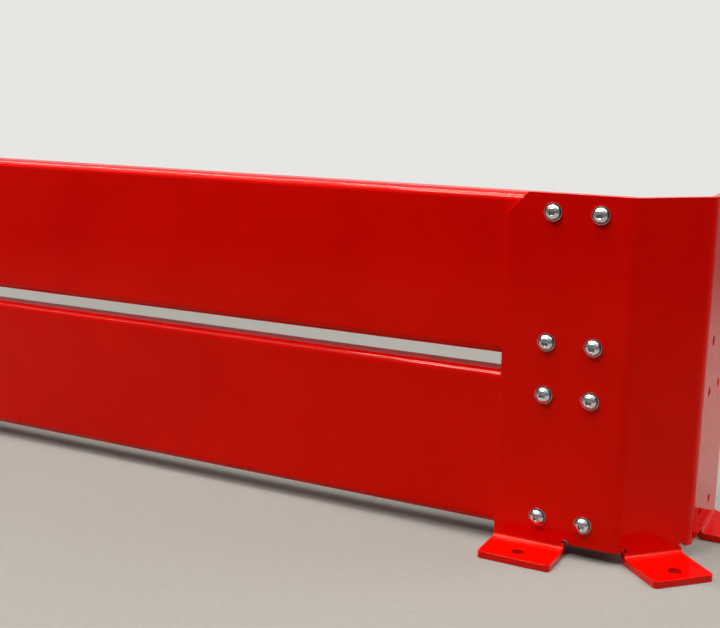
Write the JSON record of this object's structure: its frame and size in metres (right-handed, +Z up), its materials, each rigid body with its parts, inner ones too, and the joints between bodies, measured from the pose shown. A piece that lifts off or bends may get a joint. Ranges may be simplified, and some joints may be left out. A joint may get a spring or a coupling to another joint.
{
  "type": "pallet rack end guard",
  "caption": "Floor-standing guard for the end of a pallet rack: folded corner posts with feet to bolt down, joined by channel beams.",
  "frame": {"origin": "on the floor, at the middle of the guard's outline", "axes": "+X along the beams, +Y back towards the rack, +Z up"},
  "size_m": [1.354, 0.259, 0.4],
  "materials": {
    "red_coat": "gloss",
    "zinc": "satin"
  },
  "bodies": {
    "root": {"upper_beam": "red_coat", "lower_beam": "red_coat", "right_post": "red_coat", "left_post": "red_coat"}
  },
  "joints": []
}
